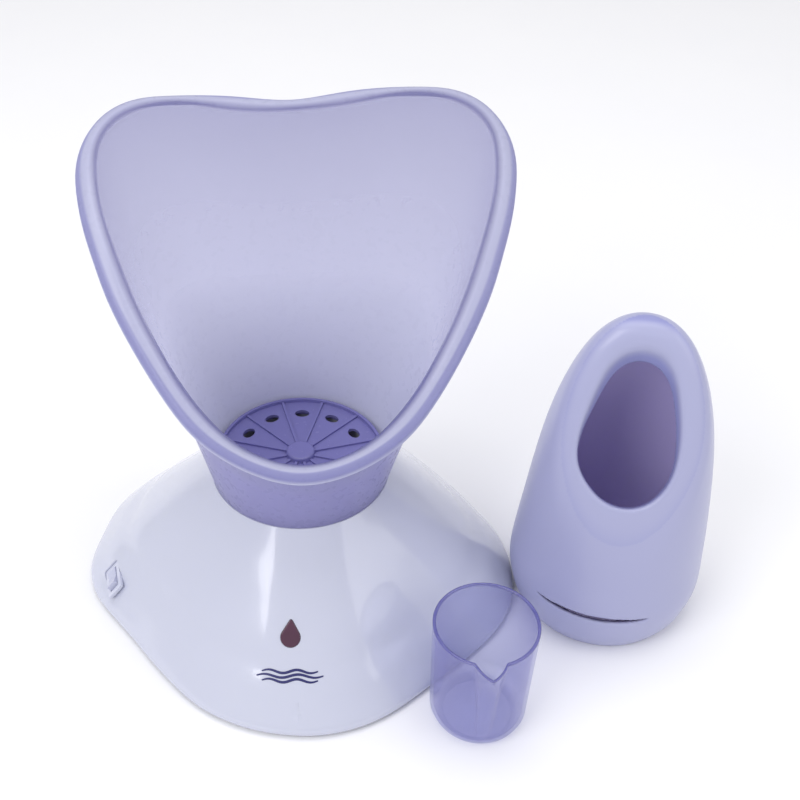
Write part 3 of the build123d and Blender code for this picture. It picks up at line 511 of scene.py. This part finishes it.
v = relax(v, q, 6)
front = np.array([math.sin(NT), -math.cos(NT), 0.0])
side = np.array([math.cos(NT), math.sin(NT), 0.0])
hv = (v[:, 1] - M_F) * nF + (v[:, 2] - M_Z) * nZ
lv = (v[:, 2] - M_Z) * math.sin(M_A) - (v[:, 1] - M_F) * math.cos(M_A)
rhov = np.hypot(v[:, 0], v[:, 1])
prm = [f(v[:, 2]) for f in nose_f]
wv = v[:, 0] - prm[4]
dv = np.where(v[:, 1] > 0, prm[1], prm[2])
pv = np.where(v[:, 1] > 0, prm[3], 2.0)
uv_ = (np.abs(wv / (rhov + 1e-6) / prm[0]) ** pv + np.abs(v[:, 1] / (rhov + 1e-6) / dv) ** pv) ** (-1.0 / pv)
inner = ((rhov - uv_) < -1.3) & (hv < -1.0)
# painted light: the deep cavity walls are lightened to stand in for light reaching inside
inner_painted_light_w = np.where(inner, smoothstep(8.0, 10.5, -hv), 0.0)
# painted shade on the upper funnel wall
funnel_painted_shade_w = np.where(inner, smoothstep(1.0, 5.0, -hv), 0.0)
azv = np.degrees(np.arctan2(v[:, 0], v[:, 1]))
# painted shade: the crescent slot's walls are darkened
slot_painted_shade_w = (((np.abs(v[:, 2] - 25.5) < 3.0) & (azv > s0) & (azv < s1)) * smoothstep(0.7, 1.7, uv_ - rhov)).astype(np.float32)
world = np.outer(v[:, 0], side) + np.outer(v[:, 1], front)
world[:, 2] = v[:, 2]
world += np.array([NX, NY, 0.0])
nose_mat, nt, p, out, mix = moulded("nose_lilac_shell", srgb(173, 175, 208), srgb(167, 169, 204), rough=0.28,
                                    grain=240, bump=0.002, coat=0.15, spec=0.35)
# painted shade: the funnel wall is mixed towards a darker lilac
mx = by_attribute(nt, mix.outputs["Result"], "funnel", srgb(146, 149, 200), p.inputs["Base Color"], 0.95)
# painted light: the cavity walls get a brighter lilac than the outside
mx = by_attribute(nt, mx.outputs["Result"], "inner", srgb(222, 212, 255), p.inputs["Base Color"], 1.0)
# painted shade: near-black purple in the crescent slot
by_attribute(nt, mx.outputs["Result"], "slot", srgb(38, 34, 66), p.inputs["Base Color"], 1.0)
nose = new_mesh("nose_mask_body", world * MM, q, nose_mat)
at = nose.data.attributes.new("inner", "FLOAT", "POINT")
at.data.foreach_set("value", inner_painted_light_w.astype(np.float32))
at = nose.data.attributes.new("funnel", "FLOAT", "POINT")
at.data.foreach_set("value", funnel_painted_shade_w.astype(np.float32))
at = nose.data.attributes.new("slot", "FLOAT", "POINT")
at.data.foreach_set("value", slot_painted_shade_w)
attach(nose, "nose_mask")
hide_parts("nose_mask_shell", "nose_mask_ring")

# ------------------------------------------------------------------ measuring cup
CX, CY = 83.8, -88.4
H, RIM, FOOT, TH = 62.5, 23.9, 22.4, 1.5
NT_, rings = 288, []


def cup_r(d, z, inset=0.0):
    """Radius at angle d from the spout direction (-Y)."""
    r = FOOT + (RIM - FOOT) * z / H
    if z < 6.5:
        r = FOOT - 0.3 - 5.2 * (1 - math.sqrt(max(0.0, 1 - (1 - z / 6.5) ** 2)))
        r = min(r, FOOT + (RIM - FOOT) * z / H)
    r -= inset
    k = max(0.0, (z - 7.0) / (H - 7.0))
    beak = max(0.0, (z - 44.0) / (H - 44.0))
    if k > 0 and math.cos(d) > 0.5:
        half = 3.0 + 2.8 * k + 1.4 * beak
        t = abs(math.sin(d)) * (FOOT + (RIM - FOOT) * z / H) / half
        if t < 1.0:
            r += (3.0 * k ** 0.7 + 5.2 * beak ** 1.7) * (1.0 - t ** (2.6 - 1.5 * beak))
    return r


def cup_ring(z, inset, flat=1.0):
    out_ = []
    for i in range(NT_):
        a = 2 * math.pi * i / NT_
        r = cup_r(a, z, inset) * flat
        out_.append(((CX + r * math.sin(a)) * MM, (CY - r * math.cos(a)) * MM, z * MM))
    return out_


rows = [(0.0, 0.0, 0.02), (0.0, 0.0, 0.5), (0.0, 0.0, 0.93)]
zs_out = [0.35, 0.9, 1.8, 3.0, 4.6, 6.5, 9, 13, 18, 24, 30, 36, 42, 48, 54, 58, 61.0, 62.1]
rows += [(z, 0.0, 1.0) for z in zs_out]
rows += [(62.5, 0.35, 1.0), (62.5, 1.15, 1.0)]
zs_in = [62.1, 61.0, 58, 54, 48, 42, 36, 30, 24, 18, 13, 9, 6.5, 4.6, 3.2, 2.3, 1.9]
rows += [(z, TH, 1.0) for z in zs_in]
rows += [(1.6, TH, 0.9), (1.5, TH, 0.5), (1.5, TH, 0.02)]
cv, cf, rim_shade_w = [], [], []


def channel_edge_shade(d, z):
    """Painted shade weight, peaking along the two lines where the pouring channel leaves the round wall."""
    k = max(0.0, (z - 7.0) / (H - 7.0))
    if k <= 0 or math.cos(d) <= 0:
        return 0.0
    r = FOOT + (RIM - FOOT) * z / H
    beak = max(0.0, (z - 44.0) / (H - 44.0))
    x = abs(math.sin(d)) * r
    lim = 3.0 + 2.8 * k + 1.4 * beak
    return math.exp(-((x - lim) / 0.5) ** 2) * min(1.0, 4 * k) * 0.42


for k, (z, inset, flat) in enumerate(rows):
    cv += cup_ring(z, inset, flat)
    # painted shade weights: full on the top rim, lines along the pouring channel's edges
    rim_shade_w += [1.0 if z > 61.5 else channel_edge_shade(2 * math.pi * i / NT_, z) for i in range(NT_)]
for k in range(len(rows) - 1):
    for i in range(NT_):
        j = (i + 1) % NT_
        cf.append((k * NT_ + i, k * NT_ + j, (k + 1) * NT_ + j, (k + 1) * NT_ + i))
cf.append(tuple(range(NT_ - 1, -1, -1)))
cf.append(tuple((len(rows) - 1) * NT_ + i for i in range(NT_)))
cup_mat, nt, p, out, mix = moulded("cup_tint", srgb(158, 156, 208), srgb(152, 150, 203), rough=0.08,
                                   grain=300, bump=0.004, coat=0.4, spec=0.6)
# painted shade: the rim and the channel edges are mixed towards dark purple
by_attribute(nt, mix.outputs["Result"], "rim_shade", srgb(78, 76, 150), p.inputs["Base Color"], 0.95)
m2 = see_through(nt, p, out, srgb(242, 243, 251), 0.62)
lw = nt.nodes.new("ShaderNodeLayerWeight")
lw.inputs["Blend"].default_value = 0.28
mrn = nt.nodes.new("ShaderNodeMapRange")
mrn.inputs["To Min"].default_value = 0.92
mrn.inputs["To Max"].default_value = 0.34
nt.links.new(lw.outputs["Facing"], mrn.inputs["Value"])
# the painted shade weight also makes the rim and channel edges less see-through
atn = nt.nodes.new("ShaderNodeAttribute")
atn.attribute_name = "rim_shade"
sub = nt.nodes.new("ShaderNodeMath")
sub.operation = "MULTIPLY_ADD"
sub.inputs[1].default_value = -0.6
nt.links.new(atn.outputs["Fac"], sub.inputs[0])
nt.links.new(mrn.outputs["Result"], sub.inputs[2])
sub.use_clamp = True
nt.links.new(sub.outputs["Value"], m2.inputs["Fac"])
cup = new_mesh("measuring_cup_body", cv, cf, cup_mat)
at = cup.data.attributes.new("rim_shade", "FLOAT", "POINT")
at.data.foreach_set("value", rim_shade_w)
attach(cup, "cup")
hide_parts("measuring_cup")

# ------------------------------------------------------------------ carried-over CAD nodes
STYLE = {
    "base_shell": dict(color=srgb(202, 205, 222), color2=srgb(198, 201, 220), rough=0.13, grain=320, bump=0.006, coat=0.6, sss=0.05),
    "base_plate": dict(color=srgb(190, 190, 200), rough=0.5, grain=700, bump=0.12),
    "foot_ring": dict(color=srgb(92, 92, 102), rough=0.7, grain=500, bump=0.1),
    "base_screws": dict(color=srgb(170, 170, 172), rough=0.3, metallic=1.0, grain=900, bump=0.06),
    "neck_gasket": dict(color=srgb(190, 92, 70), rough=0.6, grain=500, bump=0.06),
    "water_tank": dict(color=srgb(196, 196, 206), rough=0.4, grain=600, bump=0.05),
    "plate_seal": dict(color=srgb(190, 92, 70), rough=0.6, grain=500, bump=0.06),
    "heating_plate": dict(color=srgb(150, 150, 156), rough=0.32, metallic=0.9, grain=1200, bump=0.08),
    "heating_element": dict(color=srgb(132, 126, 120), rough=0.38, metallic=1.0, grain=900, bump=0.1),
    "heater_clamp": dict(color=srgb(168, 168, 172), rough=0.35, metallic=1.0, grain=900, bump=0.05),
    "clamp_screws": dict(color=srgb(170, 170, 172), rough=0.3, metallic=1.0, grain=900, bump=0.06),
    "thermostat": dict(color=srgb(34, 34, 38), rough=0.45, grain=700, bump=0.08),
    "thermostat_strap": dict(color=srgb(168, 168, 172), rough=0.35, metallic=1.0, grain=900, bump=0.05),
    "thermal_fuse": dict(color=srgb(200, 196, 186), rough=0.4, grain=700, bump=0.04),
    "heat_shield": dict(color=srgb(196, 196, 198), rough=0.25, metallic=1.0, grain=1000, bump=0.05),
    "indicator_lens": dict(color=srgb(88, 42, 70), color2=srgb(56, 26, 48), rough=0.08, grain=400, bump=0.01, coat=0.8, tint_scale=60.0),
    "indicator_lamp": dict(color=srgb(235, 160, 120), rough=0.1, grain=400, bump=0.01, coat=0.5),
    "lamp_holder": dict(color=srgb(205, 205, 208), rough=0.45, grain=600, bump=0.05),
    "switch_body": dict(color=srgb(206, 209, 228), rough=0.2, grain=400, bump=0.01, coat=0.3),
    "switch_rocker": dict(color=srgb(190, 193, 217), color2=srgb(184, 187, 212), rough=0.25, grain=400, bump=0.02, coat=0.3),
    "switch_terminals": dict(color=srgb(196, 160, 84), rough=0.3, metallic=1.0, grain=800, bump=0.04),
    "cord_gland": dict(color=srgb(202, 205, 226), rough=0.4, grain=600, bump=0.06),
    "gland_nut": dict(color=srgb(202, 205, 226), rough=0.4, grain=600, bump=0.06),
    "cord_clamp": dict(color=srgb(214, 214, 216), rough=0.45, grain=600, bump=0.06),
    "cord_clamp_screws": dict(color=srgb(170, 170, 172), rough=0.3, metallic=1.0, grain=900, bump=0.06),
    "terminal_block": dict(color=srgb(222, 218, 204), rough=0.4, grain=600, bump=0.05),
    "terminal_screws": dict(color=srgb(196, 160, 84), rough=0.3, metallic=1.0, grain=900, bump=0.05),
    "lead_wires": dict(color=srgb(176, 52, 46), rough=0.5, grain=700, bump=0.05),
    "steam_diffuser": dict(color=srgb(136, 133, 192), color2=srgb(128, 125, 186), rough=0.22, grain=420, bump=0.01, coat=0.3),
}
for node, st in STYLE.items():
    ob = NODES[node]
    m = moulded("mat_" + node, **st)
    if node == "steam_diffuser":
        see_through(m[1], m[2], m[3], srgb(130, 126, 196), 0.05, 0.12)
    ob.data.materials.clear()
    ob.data.materials.append(m[0])

# ------------------------------------------------------------------ mark on the front slope: three steam waves
shell = NODES["base_shell"]
dg = bpy.context.evaluated_depsgraph_get()
bvh = BVHTree.FromObject(shell, dg)


def on_shell(x, s):
    """Point on the front slope: x across, s metres up the slope from the mark's centre."""
    e_y, e_z = 0.642, 0.766
    base = Vector((x, -0.0888, 0.0225)) + Vector((0, e_y, e_z)) * (s + 0.002)
    n = Vector((0, -0.766, 0.642))
    hit = bvh.ray_cast(base + n * 0.03, -n)
    return hit[0], hit[1]


mark_v, mark_f = [], []


def ribbon(path, width):
    start = len(mark_v)
    n = len(path)
    for i, (x, s) in enumerate(path):
        a = path[max(0, i - 1)]
        b = path[min(n - 1, i + 1)]
        dx, ds = b[0] - a[0], b[1] - a[1]
        l = math.hypot(dx, ds)
        px_, ps_ = -ds / l, dx / l
        taper = width * (0.35 + 0.65 * math.sin(math.pi * (i + 0.5) / n) ** 0.5)
        for sg in (-1, 1):
            hp, hn = on_shell(x + px_ * taper / 2 * sg, s + ps_ * taper / 2 * sg)
            mark_v.append(tuple(hp + hn * 0.00012))
        for sg in (-1, 1):
            hp, hn = on_shell(x + px_ * taper / 2 * sg, s + ps_ * taper / 2 * sg)
            mark_v.append(tuple(hp - hn * 0.0002))
    for i in range(n - 1):
        o = start + i * 4
        mark_f.extend([
            (o, o + 1, o + 5, o + 4), (o + 1, o + 3, o + 7, o + 5),
            (o + 3, o + 2, o + 6, o + 7), (o + 2, o, o + 4, o + 6),
        ])
    o = start
    mark_f.append((o, o + 2, o + 3, o + 1))
    o = start + (n - 1) * 4
    mark_f.append((o, o + 1, o + 3, o + 2))


for row in (-1, 0, 1):
    length = 0.031 - 0.005 * abs(row)
    path = []
    for i in range(49):
        u = i / 48.0
        path.append((-0.004 + (u - 0.5) * length, row * 0.0021 + 0.00075 * math.sin(u * 4 * math.pi)))
    ribbon(path, 0.00125)
mark_mat = moulded("mark_navy", srgb(44, 44, 104), srgb(38, 38, 96), rough=0.35, grain=800, bump=0.03)[0]
mark = new_mesh("steam_wave_mark", mark_v, mark_f, mark_mat, smooth=False)
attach(mark, "base")

# ------------------------------------------------------------------ floor, light, camera
floor_mat = moulded("floor_pale", srgb(250, 250, 252), srgb(247, 247, 250), rough=0.6, grain=60, bump=0.002)[0]
fl = 3.0
floor = new_mesh("floor", [(-fl, -fl, 0), (fl, -fl, 0), (fl, fl, 0), (-fl, fl, 0)], [(0, 1, 2, 3)], floor_mat)

world_ = bpy.data.worlds.new("studio")
bpy.context.scene.world = world_
world_.use_nodes = True
bg = world_.node_tree.nodes["Background"]
bg.inputs["Color"].default_value = (0.985, 0.985, 1.0, 1.0)
bg.inputs["Strength"].default_value = 0.60


def area(name, loc, target, size, power, color=(1, 1, 1)):
    ld = bpy.data.lights.new(name, "AREA")
    ld.shape = "RECTANGLE"
    ld.size, ld.size_y = size
    ld.energy = power
    ld.color = color
    ob = bpy.data.objects.new(name, ld)
    bpy.context.scene.collection.objects.link(ob)
    ob.location = loc
    dvec = Vector(target) - Vector(loc)
    ob.rotation_euler = dvec.to_track_quat("-Z", "Y").to_euler()
    return ob


area("key", (-0.9, -0.9, 1.3), (0, 0, 0.08), (0.9, 0.9), 11.5)
area("fill", (1.1, -0.5, 0.9), (0.05, 0, 0.08), (0.9, 0.9), 3.2)
area("top", (0.0, 0.25, 1.5), (0, 0, 0.1), (1.4, 1.0), 8.0)

cam = bpy.data.cameras.new("camera")
cam.lens = 54.0
cam.sensor_width = 36.0
cam.sensor_fit = "HORIZONTAL"
cam.shift_x = 0.075
cam.shift_y = 0.0
cam.clip_start = 0.01
cob = bpy.data.objects.new("camera", cam)
bpy.context.scene.collection.objects.link(cob)
cob.location = (0.0191, -0.430, 0.4774)
cob.rotation_euler = (math.radians(50.0), 0.0, 0.0)
bpy.context.scene.camera = cob
bpy.context.scene.view_settings.view_transform = "Standard"
